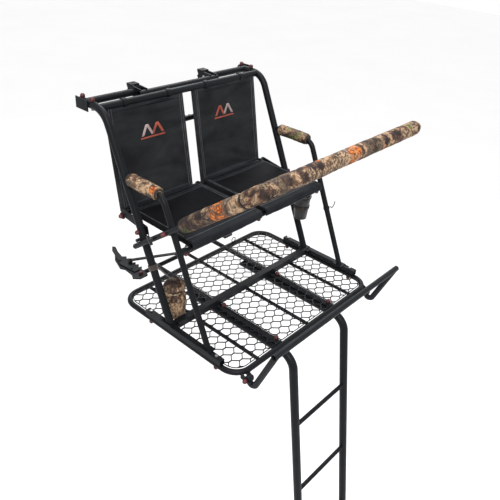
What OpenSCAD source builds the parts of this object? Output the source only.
// Two-seat ladder stand for a tree: a seat and platform unit on a three-section ladder.
// +Z is up, -Y is the side the sitters face, +Y is the tree. X runs across the seats.
// Sizes below are measured from the deck datum: x = 0 on the centre line, y = 0 at the front
// edge of the platform, z = 0 at the middle of the platform tubes. The origin of the part is
// the point of the rear top tube that lies against the trunk.

/* [Platform] */
// Width of the platform between the middles of its side tubes
deck_w = 940; // [900:5:980]
// Depth of the platform between the middles of its front and rear tubes
deck_d = 700; // [670:5:730]
// Diameter of the platform, armrest and top tubes
frame_d = 25; // [24:0.5:27]
// Corner radius of the platform tube
deck_corner = 75; // [60:5:100]
// Wall of every tube
wall = 1.5; // [1.2:0.1:2]
// Distance of the crossbar and the main posts behind the front edge
main_y = 376; // [365:1:390]
// Distance of the front posts behind the front edge
front_y = 150; // [140:1:160]
// Distance of the two platform beams from the centre line
beam_x = 188; // [184:1:192]
// Distance of the outer slats from the centre line
slat_x = 328; // [318:1:338]
// Diameter of the slats
slat_d = 16; // [14:0.5:18]

/* [Posts] */
// Distance of the posts from the centre line
post_x = 461; // [458:0.5:463]
// Diameter of the main posts
post_d = 32; // [30:0.5:33]
// Lean of the posts towards the tree
post_lean = 25; // [24:0.5:26]
// Height of the top tubes over the platform
top_z = 848; // [835:1:860]
// Distance of the rear top tube behind the front edge
top_y = 890; // [885:1:895]
// Height of the armrests over the platform
arm_z = 610; // [600:1:620]

/* [Seats] */
// Height of the middle of the seat tubes
seat_z = 430; // [428:1:434]
// Distance of the seat hinge behind the front edge
hinge_y = 700; // [695:1:705]
// Diameter of the seat hinge tube
hinge_d = 22; // [20:0.5:23]
// Diameter of the seat frame tubes
seat_tube_d = 19; // [17:0.5:20]
// Height of the middle of the front seat crossbar
seat_bar_z = 406; // [404:0.5:407]

/* [Shooting rail] */
// Distance of the rail arms from the centre line
rail_x = 491; // [490:0.5:493]
// Diameter of the rail tube
rail_d = 22; // [20:0.5:22]
// Height of the rail pivot
rail_pivot_z = 487; // [480:1:495]
// Reach of the rail from its pivot to the middle of the crossbar
rail_reach = 558; // [545:1:570]
// Angle of the rail arms over the horizontal
rail_rise = 37; // [35:0.5:39]
// Length of the arm tails behind the pivot
rail_tail = 240; // [225:1:250]
// Diameter of the padded sleeves on the rail
rail_pad_d = 56; // [50:1:58]

/* [Footrest] */
// Distance of the footrest arms from the centre line
foot_x = 424; // [410:1:428]
// Forward reach of the footrest crossbar from the front edge
foot_y = 142; // [130:1:150]
// Height of the footrest crossbar
foot_z = 175; // [165:1:185]

/* [Ladder] */
// Diameter of the ladder rails
ladder_d = 38; // [36:0.5:38]
// Lean of the ladder, its foot towards the front
ladder_lean = 10; // [9:0.5:11]
// Distance down the rail from the deck level to the first rung
first_rung = 399; // [380:1:410]
// Distance from rung to rung along the rail
rung_pitch = 390; // [380:1:395]
// Diameter of the rungs
rung_d = 20; // [18:0.5:22]
// Number of rungs in the top section
top_rungs = 3; // [3:1:4]
// Number of rungs in the middle section
mid_rungs = 3; // [3:1:4]
// Number of rungs in the bottom section
low_rungs = 4; // [3:1:4]

/* [Jaws] */
// Distance of the jaw pivots from the centre line
jaw_x = 290; // [285:1:295]
// Distance of the jaw pivots behind the front edge
jaw_y = 800; // [796:1:804]
// Thickness of the jaw plates
jaw_t = 6; // [5:0.5:6]

/* [Hidden] */
$fn = 64;

STEEL = [0.16, 0.17, 0.18];
MESH_CLOTH = [0.13, 0.13, 0.14];
CAMO = [0.55, 0.46, 0.36];
RED = [0.42, 0.10, 0.10];
PLASTIC = [0.08, 0.08, 0.08];
GREY_PLASTIC = [0.45, 0.45, 0.46];
WEBBING = [0.25, 0.17, 0.12];

// Clearances: a weld is coped this far off its neighbour, a pin turns with this play
weld_gap = 0.05;
play = 0.1;
bolt_play = 0.4;
// The gap between a tube's straights and its bends
joint_gap = 0.02;

lean_run = tan(post_lean);
trunk_y = 937.5;
bolt_d = 8;

function unit(v) = v / norm(v);
function cross2(a, b) = a.x * b.y - a.y * b.x;
// Distance behind the front edge of a main or front post at height z
function main_at(z) = main_y + lean_run * z;
function front_at(z) = front_y + lean_run * z;
// A point t down the ladder rail from the deck level
ladder_top_y = -54;
function ladder_at(t) = [ladder_top_y - t * sin(ladder_lean), -t * cos(ladder_lean)];

// ---------------------------------------------------------------- shared shapes

// Moves from the deck datum to the part's own origin
module from_deck() {
    translate([0, -trunk_y, -top_z]) children();
}

// Repeats a left-hand shape on the right
module both_sides() {
    children();
    mirror([1, 0, 0]) children();
}

// Stands the local XY plane up as the side view at distance x: local x is Y, local y is Z
module side_view(x) {
    translate([x, 0, 0]) rotate([90, 0, 90]) children();
}

// A round bar from a to b
module bar(a, b, d) {
    v = b - a;
    translate(a)
        rotate([0, acos(v.z / norm(v)), atan2(v.y, v.x)])
            cylinder(d = d, h = norm(v));
}

// A tube from a to b, open at both ends
module pipe(a, b, d) {
    u = unit(b - a);
    difference() {
        bar(a, b, d);
        bar(a - u, b + u, d - 2 * wall);
    }
}

// A tube along points in the XY plane, its corners bent to radius r; a bore of 0 makes it solid.
// The straights stop a hair short of the bends, so each stays a solid of its own.
module bent_tube(points, d, bore, r, closed = false) {
    n = len(points);
    function at(i) = points[(i + n) % n];
    function bends(i) = closed || (i % n > 0 && i % n < n - 1);
    function turn(i) = asin(cross2(unit(at(i) - at(i - 1)), unit(at(i + 1) - at(i))));
    function cut(i) = bends(i) ? r * tan(abs(turn(i)) / 2) + joint_gap : 0;
    for (i = [0 : closed ? n - 1 : n - 2]) {
        u = unit(at(i + 1) - at(i));
        a = at(i) + u * cut(i);
        b = at(i + 1) - u * cut(i + 1);
        difference() {
            bar([a.x, a.y, 0], [b.x, b.y, 0], d);
            if (bore > 0) bar([a.x - u.x, a.y - u.y, 0], [b.x + u.x, b.y + u.y, 0], bore);
        }
    }
    for (i = [0 : n - 1]) {
        if (bends(i)) {
            u = unit(at(i) - at(i - 1));
            side = sign(turn(i));
            inward = [-u.y, u.x] * side;
            centre = at(i) - u * r * tan(abs(turn(i)) / 2) + inward * r;
            start = atan2(-inward.y, -inward.x) - (side > 0 ? 0 : abs(turn(i)));
            translate([centre.x, centre.y, 0])
                rotate([0, 0, start])
                    rotate_extrude(angle = abs(turn(i)))
                        translate([r, 0]) ring(d, bore);
        }
    }
}

module ring(d, bore) {
    difference() {
        circle(d = d);
        if (bore > 0) circle(d = bore);
    }
}

module bent_pipe(points, d, r, closed = false) {
    bent_tube(points, d, d - 2 * wall, r, closed);
}

// A drilling through a tube, from -l to l along Z
module drill(d, l) {
    translate([0, 0, -l]) cylinder(d = d, h = 2 * l);
}

// A bolt along +Z with its head under z = 0 and its nut over z = grip
module bolt(grip, d = bolt_d) {
    head_t = 0.6 * d;
    nut_t = 0.7 * d;
    translate([0, 0, -head_t]) cylinder(d = 1.8 * d, h = head_t, $fn = 6);
    translate([0, 0, -0.01]) cylinder(d = d, h = grip + nut_t + 3);
    translate([0, 0, grip + weld_gap]) cylinder(d = 1.8 * d, h = nut_t, $fn = 6);
}

// The soft cap that covers a nut
cap_l = 13;
module nut_cap(d = bolt_d) {
    wide = 2.4 * d;
    difference() {
        rotate_extrude() polygon([[0, 0], [wide / 2, 0], [wide / 2, 8], [wide / 2 - 3, cap_l], [0, cap_l]]);
        translate([0, 0, -1]) cylinder(d = 1.9 * d, h = 0.7 * d + 5.5);
    }
}

// ---------------------------------------------------------------- bolt places

// Turns that lay the local Z axis along X, or point it down
OUT_X = [0, 90, 0];
DOWN = [180, 0, 0];
side_bolt_y = [110, 505];
beam_bolt_y = [36, 342];
bracket_z = 405;
cross_bolt_x = [-425, 0, 425];
top_bolt_y = [844, 908];

// ---------------------------------------------------------------- platform

side_rail_w = 25;
side_rail_z = frame_d / 2 + side_rail_w / 2 + weld_gap;
side_rail_in = side_rail_w / 2;
foot_plate_t = 3;

module side_bolt_drillings() {
    for (x = [-deck_w / 2, deck_w / 2], y = side_bolt_y) translate([x, y, 0]) drill(bolt_d + bolt_play, 60);
}

// The front and rear straights of the platform tube with room round them
module deck_bars() {
    w = deck_w / 2 - deck_corner;
    for (y = [0, deck_d]) bar([-w, y, 0], [w, y, 0], frame_d + 2 * weld_gap);
}

module platform_frame() {
    w = deck_w / 2;
    color(STEEL) from_deck() difference() {
        bent_pipe([[-w, 0], [w, 0], [w, deck_d], [-w, deck_d]], frame_d, deck_corner, true);
        side_bolt_drillings();
    }
}

// The beams, slats and crossbars are coped round the platform tube
rear_bar_y = 826;
rear_bar_d = 22;
rear_bar_z = -(frame_d - 2) / 2 - rear_bar_d / 2 + 1;
beam_end = rear_bar_y + rear_bar_d / 2;
beam_d = frame_d - 2;

module platform_beams() {
    color(STEEL) from_deck() difference() {
        for (x = [-beam_x, beam_x]) pipe([x, 0, 0], [x, beam_end, 0], beam_d);
        deck_bars();
        beam_bolt_drillings();
    }
}

module beam_bolt_drillings() {
    for (x = [-beam_x, beam_x], y = beam_bolt_y) translate([x, y, 0]) drill(bolt_d + bolt_play, 80);
}

module platform_slats() {
    color(STEEL) from_deck() difference() {
        union() {
            for (x = [-slat_x, slat_x]) pipe([x, 0, 0], [x, deck_d, 0], slat_d);
            pipe([0, 0, 0], [0, guide_end, 0], slat_d);
        }
        deck_bars();
    }
}

// The hexagon mesh: strands cut from one sheet, laid on the slats
mesh_t = 3;
strand_w = 4.6;
mesh_rim = 3;
// Half the width of the slots that the beams stand up through
beam_slot = 9;
hex_bond = 16;
hex_dx = 23;
hex_dy = 23;
mesh_z = slat_d / 2 + weld_gap;

module hex_opening(bond, dx, dy) {
    polygon([
        [-bond / 2, -dy], [bond / 2, -dy], [bond / 2 + dx, 0],
        [bond / 2, dy], [-bond / 2, dy], [-bond / 2 - dx, 0]
    ]);
}

module platform_mesh() {
    color(STEEL) from_deck() translate([0, 0, mesh_z]) linear_extrude(mesh_t) difference() {
        mesh_outline(0);
        intersection() {
            mesh_outline(mesh_rim);
            hex_openings();
        }
    }
}

// The sheet in three panels between the beams, drawn in by an inset
module mesh_outline(inset) {
    half_w = deck_w / 2 - frame_d / 2 - 1 - inset;
    low_y = frame_d / 2 + 1 + inset;
    l = deck_d - 2 * low_y;
    slot = beam_slot + inset;
    difference() {
        translate([-half_w, low_y]) rounded_sheet(2 * half_w, l, deck_corner - frame_d / 2 - inset);
        for (x = [-beam_x, beam_x]) translate([x - slot, low_y - 1]) square([2 * slot, l + 2]);
    }
}

module hex_openings() {
    shrink = strand_w / 2;
    column_x = hex_bond + hex_dx;
    columns = ceil(deck_w / 2 / column_x);
    rows = ceil(deck_d / 2 / (2 * hex_dy));
    for (i = [-columns : columns], j = [-rows : rows])
        translate([i * column_x, deck_d / 2 + j * 2 * hex_dy + (i % 2 == 0 ? 0 : hex_dy)])
            hex_opening(hex_bond - shrink / 2, hex_dx - shrink, hex_dy - shrink);
}

module rounded_sheet(w, l, r) {
    translate([r, 0]) square([w - 2 * r, l]);
    translate([0, r]) square([w, l - 2 * r]);
    for (x = [r, w - r], y = [r, l - r]) translate([x, y]) circle(r = r);
}

// The square crossbar that ties the side rails between the main posts
mid_bar_w = 30;
// Stubs on the side rails that the crossbar's ends butt against, clear of the posts' foot plates
stub_l = 15;

module mid_crossbar() {
    l = 2 * (deck_w / 2 - side_rail_in - stub_l - weld_gap);
    color(STEEL) from_deck() difference() {
        translate([-l / 2, main_y - mid_bar_w / 2, frame_d / 2 + weld_gap]) cube([l, mid_bar_w, mid_bar_w]);
        translate([-l / 2 - 1, main_y - mid_bar_w / 2 + wall, frame_d / 2 + weld_gap + wall])
            cube([l + 2, mid_bar_w - 2 * wall, mid_bar_w - 2 * wall]);
    }
}

// The crossbar behind the platform, with the plates that hold the jaws at its ends
jaw_plate_z = rear_bar_z + rear_bar_d / 2;
jaw_plate_t = 6;
guide_end = rear_bar_y + 4;

module rear_crossbar() {
    end_x = jaw_x + 6;
    color(STEEL) from_deck() difference() {
        union() {
            pipe([-end_x, rear_bar_y, rear_bar_z], [end_x, rear_bar_y, rear_bar_z], rear_bar_d);
            both_sides() jaw_seat();
            // Post under the middle slat's end
            translate([-4, rear_bar_y - 3, rear_bar_z]) cube([8, 6, -rear_bar_z]);
        }
        for (x = [-jaw_x, jaw_x]) translate([x, jaw_y, 0]) drill(bolt_d + bolt_play, 60);
        // Room for the beams that lie on the crossbar
        for (x = [-beam_x, beam_x])
            bar([x, rear_bar_y - 60, 0], [x, rear_bar_y + 60, 0], beam_d + 2 * weld_gap);
        bar([0, rear_bar_y - 60, 0], [0, rear_bar_y + 60, 0], slat_d + 2 * weld_gap);
    }
}

// A flat lug, welded on the crossbar, that reaches forward under the jaw pivot
module jaw_seat() {
    w = 44;
    translate([-jaw_x - w / 2, jaw_y - w / 2, jaw_plate_z - 1])
        cube([w, rear_bar_y - jaw_y + w / 2, jaw_plate_t]);
}

// The rails that lie on the side tubes and carry the posts
rail_from = 78;
rail_to = 528;

module side_rails() {
    color(STEEL) from_deck() both_sides() difference() {
        union() {
            translate([-deck_w / 2 - side_rail_in, rail_from, side_rail_z - side_rail_w / 2])
                cube([side_rail_w, rail_to - rail_from, side_rail_w]);
            translate([-deck_w / 2 + side_rail_in - 0.01, main_y - 24, side_rail_z - side_rail_w / 2 + 2])
                cube([stub_l, 48, side_rail_w - 4]);
            // Plates that the posts stand on
            for (y = [main_at(post_foot_z), front_at(post_foot_z)])
                translate([-deck_w / 2 - side_rail_in, y - 27, side_rail_z + side_rail_w / 2 - 0.01])
                    cube([deck_w / 2 + side_rail_in - post_x + post_d / 2 + 2, 54, foot_plate_t]);
        }
        translate([-deck_w / 2 - side_rail_in + wall, rail_from - 1, side_rail_z - side_rail_w / 2 + wall])
            cube([side_rail_w - 2 * wall, rail_to - rail_from + 2, side_rail_w - 2 * wall]);
        side_bolt_drillings();
    }
}

// ---------------------------------------------------------------- posts and top tubes

post_foot_z = side_rail_z + side_rail_w / 2 + foot_plate_t + weld_gap;
main_bend = 90;
post_end_y = top_y + 30;
arm_bend = 60;
arm_back = main_at(arm_z);

// The path of a main post in the side view: up the lean, then level to the rear tube
main_path = [[main_at(0), 0], [main_at(top_z), top_z], [post_end_y, top_z]];
front_path = [[front_at(0), 0], [front_at(arm_z), arm_z], [arm_back, arm_z]];

// The straight leg of a post with room round it, for parts that are coped to it
module main_leg(x) {
    side_view(x) leg(main_path, post_d);
}
module front_leg(x) {
    side_view(x) leg(front_path, frame_d);
}
module leg(path, d) {
    end = path[0] + (path[1] - path[0]) * 0.9;
    bar([path[0].x, path[0].y, 0], [end.x, end.y, 0], d + 2 * weld_gap);
}

module above_side_rail() {
    difference() {
        children();
        translate([-post_x - 200, -100, post_foot_z - 300]) cube([400, 1200, 300]);
    }
}

module main_post(hand) {
    above_side_rail() difference() {
        side_view(hand * post_x) bent_pipe(main_path, post_d, main_bend);
        translate([hand * post_x, main_at(bracket_z), bracket_z]) rotate(OUT_X) drill(bolt_d + bolt_play, 40);
        for (y = top_bolt_y) translate([hand * post_x, y, top_z]) drill(bolt_d + bolt_play, 60);
    }
}

module main_post_left() { color(STEEL) from_deck() main_post(-1); }
module main_post_right() { color(STEEL) from_deck() mirror([1, 0, 0]) main_post(-1); }

module front_post(hand) {
    above_side_rail() difference() {
        side_view(hand * post_x) bent_pipe(front_path, frame_d, arm_bend);
        main_leg(hand * post_x);
        translate([hand * post_x, front_at(rail_pivot_z), rail_pivot_z])
            rotate(OUT_X) drill(bolt_d + bolt_play, 40);
    }
}

module front_post_left() { color(STEEL) from_deck() front_post(-1); }
module front_post_right() { color(STEEL) from_deck() mirror([1, 0, 0]) front_post(-1); }

pad_fit = 0.3;
arm_pad_d = 50;
module armrest_pads() {
    from_y = front_at(arm_z) + 32;
    to_y = arm_back - 33;
    color(CAMO) from_deck() both_sides() translate([-post_x, from_y, arm_z]) rotate([-90, 0, 0])
        sleeve(to_y - from_y, arm_pad_d, frame_d + pad_fit);
}

// A padded sleeve along +Z with eased ends
module sleeve(l, d, bore) {
    ease = 6;
    rotate_extrude() polygon([
        [bore / 2, 0], [d / 2 - ease, 0], [d / 2, ease],
        [d / 2, l - ease], [d / 2 - ease, l], [bore / 2, l]
    ]);
}

// The front top tube carries the backrests and butts against the posts where they still bend
top_d = 30;
bend_end_y = main_at(top_z) + main_bend * tan((90 - post_lean) / 2);
top_front_y = 808;
front_slope = asin((bend_end_y - top_front_y) / main_bend);
top_front_z = top_z - main_bend * (1 - cos(front_slope));

module top_front_tube() {
    color(STEEL) from_deck() difference() {
        pipe([-post_x, top_front_y, top_front_z], [post_x, top_front_y, top_front_z], top_d);
        // Room for the bent posts
        for (x = [-post_x, post_x]) translate([x, top_front_y, top_front_z]) rotate([front_slope, 0, 0])
            bar([0, -40, 0], [0, 40, 0], post_d + 2.6);
    }
}

// The rear tube steps forward between the lugs, so that the trunk lies in the recess
recess_y = 852;
module top_rear_tube() {
    lug_out = lug_x + lug_gap / 2 + lug_t;
    color(STEEL) from_deck() {
        difference() {
            both_sides() pipe([-post_x, top_y, top_z], [-lug_out - weld_gap, top_y, top_z], top_d);
            for (x = [-post_x, post_x])
                bar([x, top_y - 60, top_z], [x, top_y + 60, top_z], post_d + 2 * weld_gap);
        }
        pipe([-lug_out - 5, recess_y, top_z], [lug_out + 5, recess_y, top_z], top_d);
    }
}

// The square brackets that close the posts' rear ends
end_bracket_t = 4;
module post_end_brackets() {
    l = 78;
    h = post_d + 14;
    low = top_z - post_d / 2 - 10;
    color(STEEL) from_deck() both_sides() {
        x = -post_x - post_d / 2 - end_bracket_t - weld_gap;
        difference() {
            translate([x, top_y - l / 2, low]) cube([end_bracket_t, l, h]);
            for (y = [-26, 26]) translate([x, top_y + y, low + 6]) rotate(OUT_X) drill(6.5, 20);
        }
    }
}

// Lugs in pairs hold the tree brace; a flat tab over each pair has an eye for a strap hook
lug_x = 205;
lug_t = 6;
lug_gap = 28;
brace_pin = [top_y - 1, top_z + 2];
strap_eye_y = 921;
strap_eye_d = 10;
tab_z = top_z + 22;
tab_t = 6;

module lug_side() {
    difference() {
        polygon([
            [recess_y - 4, top_z - 20], [top_y, top_z - 22], [trunk_y - 8, top_z - 16], [trunk_y, top_z - 4],
            [trunk_y - 7, top_z + 6], [trunk_y, tab_z - 3], [trunk_y, tab_z + 0.5], [top_y + 8, tab_z + 0.5],
            [recess_y - 4, top_z + 20]
        ]);
        translate([recess_y, top_z]) circle(d = top_d + 2 * weld_gap);
        translate(brace_pin) circle(d = bolt_d + bolt_play);
    }
}

module tree_lugs() {
    tab_w = lug_gap + 2 * lug_t;
    color(STEEL) from_deck() for (x = [-lug_x, lug_x]) difference() {
        union() {
            for (side = [-1, 1]) translate([x + side * (lug_gap + lug_t) / 2 - lug_t / 2, 0, 0])
                rotate([90, 0, 90]) linear_extrude(lug_t) lug_side();
            translate([x - tab_w / 2, top_y + 12, tab_z]) cube([tab_w, trunk_y - top_y - 12, tab_t]);
        }
        translate([x, strap_eye_y, tab_z]) drill(strap_eye_d, 30);
    }
}

// The U-shaped brace that hangs from the lugs and swings back against the trunk
brace_drop = 178;
brace_d = 25;
brace_top = 10;
module tree_brace() {
    color(STEEL) from_deck() translate([0, brace_pin.x, brace_pin.y]) {
        difference() {
            rotate([90, 0, 0]) bent_pipe(
                [[-lug_x, brace_top], [-lug_x, -brace_drop], [lug_x, -brace_drop], [lug_x, brace_top]],
                brace_d, 45);
            rotate(OUT_X) drill(bolt_d + play, 600);
        }
        brace_saddle();
    }
}

// The toothed plate on the brace's lower bar that bites the bark
module brace_saddle() {
    half = 130;
    tooth = 13;
    difference() {
        translate([0, brace_d / 2, -brace_drop - 3]) linear_extrude(6) polygon(concat(
            [[-half, -8]],
            [for (i = [0 : 20]) [-half + i * tooth, i % 2 == 0 ? 8 : 20]],
            [[half, -8]]
        ));
        bar([-half - 9, 0, -brace_drop], [half + 9, 0, -brace_drop], brace_d + 2 * weld_gap);
    }
}

// ---------------------------------------------------------------- backrests and seats

hinge_z = seat_z - 2;
back_in = 38;
back_out = 427;
back_tube_d = 16;
back_top = [top_front_y - 2, top_front_z - 25.5];
// The backrests stand behind the hinge tube, so that the seats fold up in front of them
back_low = [hinge_y + 31.5, hinge_z - 6];
back_lean = atan((back_top.x - back_low.x) / (back_top.y - back_low.y));

// Draws in a frame whose local Z runs up the backrest from the hinge tube
module on_backrest() {
    translate([0, back_low.x, back_low.y]) rotate([-back_lean, 0, 0]) children();
}

back_len = norm(back_top - back_low);
back_foot = 24;
module backrest_frames() {
    color(STEEL) from_deck() both_sides() {
        on_backrest() rotate([90, 0, 0]) bent_pipe([
            [-back_in, -back_foot], [-back_in, back_len], [-back_out, back_len], [-back_out, -back_foot]
        ], back_tube_d, 30);
        for (x = [-back_in, -back_out]) translate([x, 0, 0]) backrest_lug();
        // Clips that hang the frame on the front top tube
        for (x = [-110, -340]) translate([x, 0, 0]) backrest_clip();
    }
}

// The bolt that holds each outer lug to the seat bracket
back_bolt = [hinge_y + 13, hinge_z - 21];
back_lug_t = 8;
module backrest_lug() {
    translate([-back_lug_t / 2, 0, 0]) rotate([90, 0, 90]) linear_extrude(back_lug_t) difference() {
        union() {
            translate(back_bolt) circle(d = 22);
            polygon([
                [hinge_y - 3, hinge_z - 9], [hinge_y + 9, hinge_z - 11], [back_low.x, back_low.y - 14],
                [back_low.x - 4, back_low.y - 24], back_bolt + [-3, -10.5], [hinge_y - 3, hinge_z - 18]
            ]);
        }
        translate([hinge_y, hinge_z]) circle(d = hinge_d + 2 * weld_gap);
        translate(back_bolt) circle(d = bolt_d + bolt_play);
        // Room for the tube's leg
        translate(back_low) rotate(-back_lean) translate([-back_tube_d / 2 - weld_gap, -60])
            square([back_tube_d + 2 * weld_gap, 120]);
    }
}

module backrest_clip() {
    w = 20;
    translate([-w / 2, 0, 0]) rotate([90, 0, 90]) linear_extrude(w) difference() {
        translate([top_front_y, top_front_z]) circle(d = top_d + 6);
        translate([top_front_y, top_front_z]) circle(d = top_d + 2 * weld_gap);
        translate(back_top) circle(d = back_tube_d + 2 * weld_gap);
    }
}

back_panel_t = 6;
module backrest_panel() {
    w = back_out - back_in + back_tube_d;
    low = 5.5;
    color(MESH_CLOTH) from_deck() on_backrest()
        translate([-back_out - back_tube_d / 2, -back_tube_d / 2 - back_panel_t - weld_gap, -low])
            cube([w, back_panel_t, back_len + low + 2]);
}
module backrest_panel_left() { backrest_panel(); }
module backrest_panel_right() { mirror([1, 0, 0]) backrest_panel(); }

seat_bar_y = front_at(seat_bar_z);
module seat_crossbar() {
    color(STEEL) from_deck() difference() {
        pipe([-post_x, seat_bar_y, seat_bar_z], [post_x, seat_bar_y, seat_bar_z], frame_d - 2);
        for (hand = [-1, 1]) front_leg(hand * post_x);
        for (x = cross_bolt_x) translate([x, seat_bar_y, seat_bar_z]) drill(bolt_d + bolt_play, 40);
    }
}

bracket_t = 5;
bracket_x = post_x - post_d / 2 - bracket_t / 2 - weld_gap;
module seat_hinge_tube() {
    l = 2 * (bracket_x - bracket_t / 2 - weld_gap);
    color(STEEL) from_deck() pipe([-l / 2, hinge_y, hinge_z], [l / 2, hinge_y, hinge_z], hinge_d);
}

// Flat plates that carry the hinge tube behind the main posts
module seat_brackets() {
    h = 34;
    color(STEEL) from_deck() both_sides() difference() {
        translate([-bracket_x - bracket_t / 2, 0, 0]) rotate([90, 0, 90]) linear_extrude(bracket_t) {
            polygon([
                [main_at(bracket_z) - 22, bracket_z - h / 2], [hinge_y, hinge_z - 20],
                [hinge_y, hinge_z + 16], [main_at(bracket_z) - 14, bracket_z + h / 2]
            ]);
            translate([hinge_y, hinge_z - 2]) circle(d = 36);
            translate(back_bolt) circle(d = 30);
        }
        translate([-bracket_x, main_at(bracket_z), bracket_z]) rotate(OUT_X) drill(bolt_d + bolt_play, 20);
        translate([-bracket_x, back_bolt.x, back_bolt.y]) rotate(OUT_X) drill(bolt_d + bolt_play, 20);
    }
}

seat_in = 20;
seat_out = 412;
seat_front = 322;
eye_d = 34;
eye_t = 8;
module seat_frame() {
    difference() {
        union() {
            translate([0, 0, seat_z]) bent_pipe(
                [
                    [-seat_in, hinge_y - 14], [-seat_in, seat_front],
                    [-seat_out, seat_front], [-seat_out, hinge_y - 14]
                ],
                seat_tube_d, 34);
            for (x = [seat_in, seat_out])
                translate([-x - eye_t / 2, hinge_y, hinge_z]) rotate(OUT_X) cylinder(d = eye_d, h = eye_t);
        }
        bar([-500, hinge_y, hinge_z], [0, hinge_y, hinge_z], hinge_d + play);
    }
}
module seat_frame_left() { color(STEEL) from_deck() seat_frame(); }
module seat_frame_right() { color(STEEL) from_deck() mirror([1, 0, 0]) seat_frame(); }

seat_panel_t = 6;
valance = 18;
seat_rear_gap = 15;
module seat_panel() {
    from_x = seat_in - seat_tube_d / 2;
    w = seat_out - seat_in + seat_tube_d;
    front = seat_front - seat_tube_d / 2 - weld_gap;
    l = hinge_y - seat_rear_gap - front;
    top = seat_z + seat_tube_d / 2 + weld_gap;
    color(MESH_CLOTH) from_deck() {
        translate([-from_x - w, front - seat_panel_t, top]) cube([w, l + seat_panel_t, seat_panel_t]);
        translate([-from_x - w, front - seat_panel_t, top - valance]) cube([w, seat_panel_t, valance]);
    }
}
module seat_panel_left() { seat_panel(); }
module seat_panel_right() { mirror([1, 0, 0]) seat_panel(); }

// ---------------------------------------------------------------- shooting rail

rail_pivot_y = front_at(rail_pivot_z);
rail_bend = 62;
pad_from = 118;

// Draws in the plane of the rail: local x is X, local y runs up the arms from the pivot
module on_rail() {
    translate([0, rail_pivot_y, rail_pivot_z]) rotate([180 - rail_rise, 0, 0]) children();
}

rail_path = [[-rail_x, -rail_tail], [-rail_x, rail_reach], [rail_x, rail_reach], [rail_x, -rail_tail]];
module rail_tube() {
    color(STEEL) from_deck() on_rail() difference() {
        bent_pipe(rail_path, rail_d, rail_bend);
        rotate(OUT_X) drill(bolt_d + play, 600);
        translate([0, -knob_at, 0]) rotate(OUT_X) drill(knob_d + play, 600);
    }
}

corner_pad = rail_reach - rail_bend - 30;

module rail_arm_pads() {
    color(CAMO) from_deck() on_rail() for (hand = [-1, 1])
        translate([hand * rail_x, pad_from, 0]) rotate([-90, 0, 0])
            sleeve(corner_pad - pad_from - 1, rail_pad_d, rail_d + pad_fit);
}

module rail_front_pad() {
    color(CAMO) from_deck() on_rail() bent_tube(
        [[-rail_x, corner_pad], [-rail_x, rail_reach], [rail_x, rail_reach], [rail_x, corner_pad]],
        rail_pad_d, rail_d + pad_fit, rail_bend);
}

// Brackets that hold the rail's pivot bolts on the outside of the front posts
module rail_brackets() {
    gap = rail_x - rail_d / 2 - post_x - frame_d / 2;
    color(STEEL) from_deck() both_sides() difference() {
        translate([-post_x - frame_d / 2 - gap + 0.3, rail_pivot_y, rail_pivot_z]) rotate(OUT_X)
            cylinder(d = 30, h = gap - 0.3 + 8);
        front_leg(-post_x);
        translate([-post_x, rail_pivot_y, rail_pivot_z]) rotate(OUT_X) drill(bolt_d + bolt_play, 60);
    }
}

// Stops on the main posts that the arm tails bear up against
stop_s = 196;
module rail_stops() {
    stop_d = 14;
    up = rail_d / 2 + stop_d / 2 + 0.4;
    y = rail_pivot_y + stop_s * cos(rail_rise) + up * sin(rail_rise);
    z = rail_pivot_z - stop_s * sin(rail_rise) + up * cos(rail_rise);
    color(STEEL) from_deck() both_sides() difference() {
        translate([-rail_x - rail_d / 2 - 2, y, z]) rotate(OUT_X)
            cylinder(d = stop_d, h = rail_x + rail_d / 2 + 2 - post_x);
        main_leg(-post_x);
    }
}

// Wing knobs that clamp the arm tails
knob_at = 92;
knob_d = 8;
module rail_knob(hand) {
    color(PLASTIC) from_deck() on_rail()
        translate([hand * rail_x, -knob_at, 0]) rotate([0, hand * 90, 0]) wing_knob();
}
module rail_knob_left() { rail_knob(-1); }
module rail_knob_right() { rail_knob(1); }
module wing_knob() {
    translate([0, 0, -rail_d / 2 - 2]) cylinder(d = knob_d, h = rail_d + 6);
    translate([0, 0, rail_d / 2 + 0.3]) cylinder(d = 18, h = 14);
    translate([-20, -3.5, rail_d / 2 + 6]) cube([40, 7, 12]);
}

// ---------------------------------------------------------------- footrest

foot_pivot = [-25, -17];
foot_heel = [-36, -40];
foot_toe = [-60, -30];
foot_d = 26;
module footrest_bar() {
    color(STEEL) from_deck() {
        pipe([-foot_x - foot_d / 2 - 2, -foot_y, foot_z], [foot_x + foot_d / 2 + 2, -foot_y, foot_z], frame_d);
        for (x = [-foot_x, foot_x]) {
            difference() {
                side_view(x) bent_pipe([foot_pivot, foot_heel, foot_toe, [-foot_y, foot_z]], foot_d, 14);
                bar([x - 30, -foot_y, foot_z], [x + 30, -foot_y, foot_z], frame_d + 2 * weld_gap);
                footrest_hub(x, foot_d + 4 + 2 * weld_gap, 40);
            }
            difference() {
                footrest_hub(x, foot_d + 4, foot_d);
                footrest_hub(x, bolt_d + play, 40);
            }
        }
    }
}

module footrest_hub(x, d, l) {
    translate([x - l / 2, foot_pivot.x, foot_pivot.y]) rotate(OUT_X) cylinder(d = d, h = l);
}

// The front corners of the platform tube with room round them
module deck_corners() {
    w = deck_w / 2 - deck_corner;
    both_sides() translate([-w, deck_corner, 0]) rotate([0, 0, 180])
        rotate_extrude(angle = 90) translate([deck_corner, 0]) circle(d = frame_d + 2 * weld_gap);
}

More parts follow.
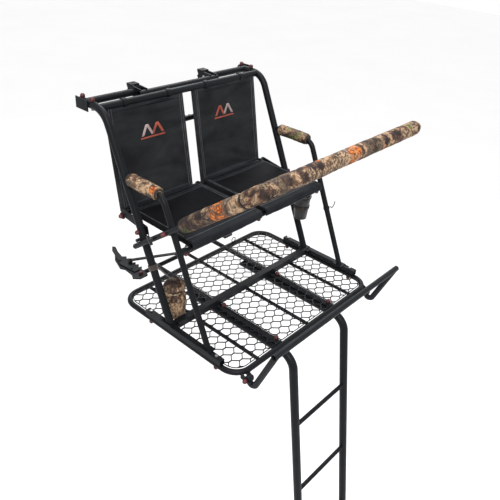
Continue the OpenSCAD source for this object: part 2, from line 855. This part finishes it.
// Ears on the front tube that the footrest turns between
ear_t = 4;
module footrest_ears() {
    color(STEEL) from_deck() for (x = [-foot_x, foot_x], side = [-1, 1]) {
        translate([x + side * (foot_d / 2 + ear_t / 2 + 0.4) - ear_t / 2, 0, 0]) difference() {
            rotate([90, 0, 90]) linear_extrude(ear_t) {
                translate(foot_pivot) circle(d = 24);
                polygon([[foot_pivot.x, foot_pivot.y - 12], [4, -22], [4, 8], [foot_pivot.x, foot_pivot.y + 12]]);
            }
            translate([-x - side * (foot_d / 2 + ear_t / 2 + 0.4) + ear_t / 2, 0, 0]) deck_corners();
            translate([-5, foot_pivot.x, foot_pivot.y]) rotate(OUT_X) cylinder(d = bolt_d + bolt_play, h = 20);
        }
    }
}

// ---------------------------------------------------------------- ladder

under_z = -frame_d / 2 - ladder_d / 2 - weld_gap;
ladder_bend = 75;
bend_t = -under_z / cos(ladder_lean);
top_end = first_rung + (top_rungs - 0.5) * rung_pitch;
mid_end = top_end + mid_rungs * rung_pitch;
low_end = mid_end + low_rungs * rung_pitch;
ground_z = ladder_at(low_end).y;
under_from = 612;

module ladder_top_rails() {
    path = [[under_from, under_z], [ladder_at(bend_t).x, under_z], ladder_at(top_end)];
    color(STEEL) from_deck() difference() {
        for (x = [-beam_x, beam_x]) side_view(x) bent_pipe(path, ladder_d, ladder_bend);
        beam_bolt_drillings();
        ladder_drillings();
        // The rear ends are cut back under the beams
        for (x = [-beam_x, beam_x])
            translate([x - 30, under_from - 8, under_z - 30]) rotate([40, 0, 0]) cube([60, 60, 90]);
    }
}

module straight_rails(from, to) {
    for (x = [-beam_x, beam_x]) {
        a = ladder_at(from + weld_gap);
        b = ladder_at(to);
        pipe([x, a.x, a.y], [x, b.x, b.y], ladder_d);
    }
}

module ladder_mid_rails() {
    color(STEEL) from_deck() difference() {
        straight_rails(top_end, mid_end);
        ladder_drillings();
    }
}

module ladder_low_rails() {
    color(STEEL) from_deck() difference() {
        straight_rails(mid_end, low_end);
        ladder_drillings();
        translate([-300, ladder_at(low_end).x - 200, ground_z - 100 + foot_t + weld_gap]) cube([600, 400, 100]);
    }
}

// Rungs butt against the inside of the rails
module ladder_rungs() {
    a = ladder_at(0);
    b = ladder_at(low_end);
    color(STEEL) from_deck() difference() {
        for (i = [0 : top_rungs + mid_rungs + low_rungs - 1]) {
            p = ladder_at(first_rung + i * rung_pitch);
            pipe([-beam_x, p.x, p.y], [beam_x, p.x, p.y], rung_d);
        }
        for (x = [-beam_x, beam_x]) bar([x, a.x, a.y], [x, b.x, b.y], ladder_d + 2 * weld_gap);
    }
}

// Sleeves inside the rails join the sections, two bolts in each
sleeve_half = 80;
sleeve_bolt = 42;
module ladder_sleeves() {
    color(STEEL) from_deck() difference() {
        for (x = [-beam_x, beam_x], joint = [top_end, mid_end]) {
            a = ladder_at(joint - sleeve_half);
            b = ladder_at(joint + sleeve_half);
            pipe([x, a.x, a.y], [x, b.x, b.y], ladder_d - 2 * wall - 0.2);
        }
        ladder_drillings();
    }
}

module at_ladder_bolts() {
    for (x = [-beam_x, beam_x], joint = [top_end, mid_end], side = [-1, 1]) {
        p = ladder_at(joint + side * sleeve_bolt);
        translate([x, p.x, p.y]) rotate(OUT_X) children();
    }
}
module ladder_drillings() { at_ladder_bolts() drill(bolt_d + bolt_play, 40); }

foot_t = 5;
module ladder_feet() {
    foot = ladder_at(low_end);
    socket_d = ladder_d + 6;
    socket_l = 70;
    top = ladder_at(low_end - socket_l);
    above = ladder_at(low_end - socket_l - 1);
    below = ladder_at(low_end + 20);
    color(PLASTIC) from_deck() for (x = [-beam_x, beam_x]) {
        difference() {
            union() {
                translate([x - 34, foot.x - 48, ground_z]) cube([68, 96, foot_t]);
                bar([x, top.x, top.y], [x, below.x, below.y], socket_d);
            }
            difference() {
                bar([x, above.x, above.y], [x, below.x, below.y], ladder_d + 0.4);
                translate([x - 60, foot.x - 100, ground_z - 100]) cube([120, 200, 100 + foot_t]);
            }
            translate([x - 60, foot.x - 100, ground_z - 100]) cube([120, 200, 100]);
        }
    }
}

// ---------------------------------------------------------------- tree jaws

jaw_z = jaw_plate_z - 1 + jaw_plate_t + 0.4;
jaw_stud = [-268, 907];
link_pin_d = 8;
link_z = 15;
link_t = 6;
slider_y = 802;
slider_ear = 52;
slider_low = 9.8;
// The link's eye is loose on the jaw's stud: the links follow the slider in a fixed ratio
eye_slack = 3;

// The outline of the left jaw: a broad toothed plate that steps in to a narrow tip
jaw_teeth = 6;
jaw_tooth_l = 24;
module jaw_outline() {
    root_x = -262;
    first_y = jaw_y + 30;
    polygon(concat(
        [[-jaw_x - 26, jaw_y - 30], [-jaw_x + 22, jaw_y - 24], [root_x, jaw_y + 16]],
        [for (i = [0 : jaw_teeth - 1], k = [0, 1])
            [root_x + k * 16, first_y + (i + k * 0.7) * jaw_tooth_l]],
        [[root_x, 984], [-251, 1030], [-230, 1080], [-241, 1093], [-262, 1066], [-277, 1024]],
        [[-307, 982], [-322, 938], [-334, 905], [-322, 880], [-326, 825], [-342, 796]]
    ));
}

// A second, shorter plate on the first, with its teeth half a step further on
jaw_top_t = 6;
module jaw_doubler() {
    root_x = -268;
    first_y = jaw_y + 52;
    polygon(concat(
        [[-jaw_x - 16, jaw_y + 28], [root_x - 6, jaw_y + 28]],
        [for (i = [0 : jaw_teeth - 2], k = [0, 1])
            [root_x + k * 16, first_y + (i + k * 0.7) * jaw_tooth_l]],
        [[root_x, 976], [-290, 992], [-316, 930]]
    ));
}

module jaw() {
    stud_z = jaw_z + jaw_t + jaw_top_t - 1;
    difference() {
        union() {
            translate([0, 0, jaw_z]) linear_extrude(jaw_t) jaw_outline();
            translate([0, 0, jaw_z + jaw_t - 0.5]) linear_extrude(jaw_top_t) jaw_doubler();
            // Stud that the link turns on
            translate([jaw_stud.x, jaw_stud.y, stud_z]) cylinder(d = 16, h = link_z - 0.5 - stud_z);
            translate([jaw_stud.x, jaw_stud.y, stud_z]) cylinder(d = link_pin_d, h = link_z + link_t + 4 - stud_z);
            // Rivets through both plates
            for (y = [jaw_y + 62, jaw_y + 156]) translate([-296, y, jaw_z]) cylinder(d = 13, h = jaw_t + jaw_top_t + 3);
        }
        translate([-jaw_x, jaw_y, 0]) drill(bolt_d + play, 40);
    }
}
module jaw_left() { color(STEEL) from_deck() jaw(); }
module jaw_right() { color(STEEL) from_deck() mirror([1, 0, 0]) jaw(); }

// The block that slides on the centre slat and pulls both jaws shut
module jaw_slider() {
    color(STEEL) from_deck() difference() {
        union() {
            translate([-14, slider_y - 18, -slider_low]) cube([28, 36, link_z - 0.4 + slider_low - 6]);
            translate([-slider_ear - 12, slider_y - 13, link_z - 0.4 - 6]) cube([2 * slider_ear + 24, 26, 6]);
            for (x = [-slider_ear, slider_ear])
                translate([x, slider_y, link_z - 0.5]) cylinder(d = link_pin_d, h = link_t + 4);
        }
        bar([0, 600, 0], [0, 1000, 0], slat_d + play);
    }
}

module jaw_link() {
    a = jaw_stud;
    b = [-slider_ear, slider_y];
    v = b - a;
    w = 17;
    translate([0, 0, link_z]) linear_extrude(link_t) difference() {
        union() {
            translate(a) circle(d = 24);
            translate(b) circle(d = 18);
            translate(a) rotate(atan2(v.y, v.x)) translate([0, -w / 2]) square([norm(v), w]);
        }
        translate(a) circle(d = link_pin_d + 2 * eye_slack);
        translate(b) circle(d = link_pin_d + play);
    }
}
module jaw_link_left() { color(STEEL) from_deck() jaw_link(); }
module jaw_link_right() { color(STEEL) from_deck() mirror([1, 0, 0]) jaw_link(); }

// ---------------------------------------------------------------- fasteners

beam_grip = frame_d / 2 + beam_d / 2 + ladder_d + weld_gap;
cross_grip = frame_d - 2;

// Nuts and their caps sit at the far end of each bolt; children(0) is drawn at the nut
module frame_bolt_places() {
    // Down through the side rails and the platform tube
    for (x = [-deck_w / 2, deck_w / 2], y = side_bolt_y)
        translate([x, y, side_rail_z + side_rail_w / 2 + 0.3]) rotate(DOWN)
            mount_bolt(side_rail_w + frame_d + weld_gap + 0.6) children();
    // Through the beams and the ladder rails under them
    for (x = [-beam_x, beam_x], y = beam_bolt_y)
        translate([x, y, under_z - ladder_d / 2 - 0.3]) mount_bolt(beam_grip + 0.6) children();
    // Through the front seat crossbar, hanging down
    for (x = cross_bolt_x)
        translate([x, seat_bar_y, seat_bar_z + cross_grip / 2 + 0.3])
            rotate(DOWN) mount_bolt(cross_grip + 0.6) children();
    // Through the main posts and the seat brackets
    for (hand = [-1, 1])
        translate([hand * (bracket_x - bracket_t / 2 - 0.3), main_at(bracket_z), bracket_z])
            rotate([0, hand * 90, 0]) mount_bolt(post_d + bracket_t + 0.8) children();
    // Up through the level ends of the main posts
    for (x = [-post_x, post_x], y = top_bolt_y)
        translate([x, y, top_z - post_d / 2 - 0.3]) mount_bolt(post_d + 0.6) children();
    // Through the backrests' outer lugs and the seat brackets
    for (hand = [-1, 1])
        translate([hand * (back_out - back_lug_t / 2 - 0.3), back_bolt.x, back_bolt.y])
            rotate([0, hand * 90, 0])
                mount_bolt(bracket_x + bracket_t / 2 - back_out + back_lug_t / 2 + 0.6) children();
}

// Draws its child with the length of bolt that it needs
module mount_bolt(grip) {
    $grip = grip;
    children();
}

module frame_bolts() {
    color(STEEL) from_deck() frame_bolt_places() bolt($grip);
}

module pivot_bolt_places() {
    // The rail's pivots, from inside the front posts outwards
    for (hand = [-1, 1])
        translate([hand * (post_x - frame_d / 2 - 0.3), rail_pivot_y, rail_pivot_z])
            rotate([0, hand * 90, 0]) mount_bolt(rail_x + rail_d / 2 - post_x + frame_d / 2 + 0.9) children();
    // The brace's pins through the lugs
    for (x = [-lug_x, lug_x])
        translate([x - lug_gap / 2 - lug_t - 0.3, brace_pin.x, brace_pin.y])
            rotate(OUT_X) mount_bolt(lug_gap + 2 * lug_t + 0.6) children();
    // The footrest's pivots
    for (hand = [-1, 1])
        translate([hand * (foot_x - foot_d / 2 - ear_t - 0.8), foot_pivot.x, foot_pivot.y])
            rotate([0, hand * 90, 0]) mount_bolt(foot_d + 2 * ear_t + 1.6) children();
    // The jaws' pivots
    for (x = [-jaw_x, jaw_x])
        translate([x, jaw_y, jaw_plate_z - 1.3]) mount_bolt(jaw_plate_t + jaw_t + 1.4) children();
}

module pivot_bolts() {
    color(STEEL) from_deck() pivot_bolt_places() bolt($grip, bolt_d);
}

module ladder_bolts() {
    color(STEEL) from_deck() at_ladder_bolts() translate([0, 0, -ladder_d / 2 - 0.3]) bolt(ladder_d + 0.6);
}

module bolt_caps() {
    color(RED) from_deck() {
        frame_bolt_places() translate([0, 0, $grip + 0.2]) nut_cap();
        pivot_bolt_places() translate([0, 0, $grip + 0.2]) nut_cap();
    }
}

// Plugs in the open tube ends that show
plug_l = 7;
module plug(d) {
    translate([0, 0, -plug_l]) cylinder(d = d - 2 * wall - 0.2, h = plug_l + 0.1);
    cylinder(d = d, h = 2.5);
}

module tube_plugs() {
    color(PLASTIC) from_deck() both_sides() {
        translate([-post_x, post_end_y + weld_gap, top_z]) rotate([-90, 0, 0]) plug(post_d);
        translate([-beam_x, beam_end + weld_gap, 0]) rotate([-90, 0, 0]) plug(beam_d);
    }
}

module rail_plugs() {
    color(PLASTIC) from_deck() on_rail() both_sides()
        translate([-rail_x, -rail_tail - weld_gap, 0]) rotate([90, 0, 0]) plug(rail_d);
}

// ---------------------------------------------------------------- things hung on the stand

holder_x = 434;
holder_low_r = 32;
holder_high_r = 42;
holder_y = 422;
holder_z = 212;
holder_h = 122;
module drink_holder() {
    skin = 4;
    color(GREY_PLASTIC) from_deck() translate([holder_x, holder_y, holder_z]) rotate_extrude() polygon([
        [0, 0], [holder_low_r, 0], [holder_high_r, holder_h], [holder_high_r - skin, holder_h],
        [holder_low_r - skin, skin], [0, skin]
    ]);
}

// A band round the main post with a tongue to the holder's back
module drink_holder_clamp() {
    z = holder_z + holder_h - 34;
    back = main_at(z);
    color(PLASTIC) from_deck() difference() {
        union() {
            translate([post_x, back, z]) rotate([-post_lean, 0, 0])
                translate([0, 0, -11]) cylinder(d = post_d + 4, h = 22);
            translate([holder_x + 9, holder_y + 30, z - 11]) cube([18, back - holder_y - 34, 22]);
        }
        main_leg(post_x);
        translate([holder_x, holder_y, holder_z - 1])
            cylinder(r1 = holder_low_r + 0.2, r2 = holder_high_r + 0.4, h = holder_h + 2);
    }
}

bag_x = -389;
bag_y = 450;
bag_z = mesh_z + mesh_t + 0.3;
bag_h = 178;
bag_r = 55;
module gear_bag() {
    color(CAMO) from_deck() translate([bag_x, bag_y, bag_z]) rotate_extrude() polygon([
        [0, 0], [bag_r - 12, 0], [bag_r, 14], [bag_r, bag_h - 40], [bag_r - 20, bag_h - 16],
        [bag_r - 22, bag_h], [0, bag_h]
    ]);
}

// The strap from over the bag's neck up to the main post, looped round the post
module gear_bag_strap() {
    z = 262;
    above_bag = 6;
    neck = [bag_x, bag_y, bag_z + bag_h + above_bag];
    post = [-post_x, main_at(z), z];
    color(WEBBING) from_deck() difference() {
        union() {
            translate(post) rotate([-post_lean, 0, 0])
                translate([0, 0, -12]) cylinder(d = post_d + 5, h = 24);
            bar(neck, post, 11);
        }
        main_leg(-post_x);
    }
}

// A bent wire hook on the right front post, and a wire eye behind the platform
hook_d = 4;
module accessory_hook() {
    z = 305;
    x = post_x + frame_d / 2 + 0.3;
    color(STEEL) from_deck() difference() {
        union() {
            translate([post_x, front_at(z), z]) rotate([-post_lean, 0, 0])
                translate([0, 0, -7]) cylinder(d = frame_d + 4, h = 14);
            translate([0, front_at(z), z]) rotate([90, 0, 0])
                bent_tube([[x, 0], [x + 26, -6], [x + 40, -16], [x + 54, -2], [x + 58, 14]], hook_d, 0, 6);
        }
        front_leg(post_x);
    }
}

module rope_eye() {
    x = 250;
    ring = 13;
    lift = frame_d / 2 + ring - 0.5;
    color(STEEL) from_deck() translate([x, deck_d, lift]) rotate([90, 0, 0]) difference() {
        rotate_extrude() translate([ring, 0]) circle(d = 4);
        translate([-40, -lift, 0]) rotate([0, 90, 0]) cylinder(d = frame_d + 2 * weld_gap, h = 80);
    }
}

platform_frame();
platform_beams();
platform_slats();
platform_mesh();
mid_crossbar();
rear_crossbar();
side_rails();
main_post_left();
main_post_right();
front_post_left();
front_post_right();
armrest_pads();
top_front_tube();
top_rear_tube();
post_end_brackets();
tree_lugs();
tree_brace();
backrest_frames();
backrest_panel_left();
backrest_panel_right();
seat_crossbar();
seat_hinge_tube();
seat_brackets();
seat_frame_left();
seat_frame_right();
seat_panel_left();
seat_panel_right();
rail_tube();
rail_arm_pads();
rail_front_pad();
rail_plugs();
rail_knob_left();
rail_knob_right();
rail_brackets();
rail_stops();
footrest_bar();
footrest_ears();
ladder_top_rails();
ladder_mid_rails();
ladder_low_rails();
ladder_rungs();
ladder_sleeves();
ladder_feet();
jaw_left();
jaw_right();
jaw_slider();
jaw_link_left();
jaw_link_right();
frame_bolts();
pivot_bolts();
ladder_bolts();
bolt_caps();
tube_plugs();
drink_holder();
drink_holder_clamp();
gear_bag();
gear_bag_strap();
accessory_hook();
rope_eye();
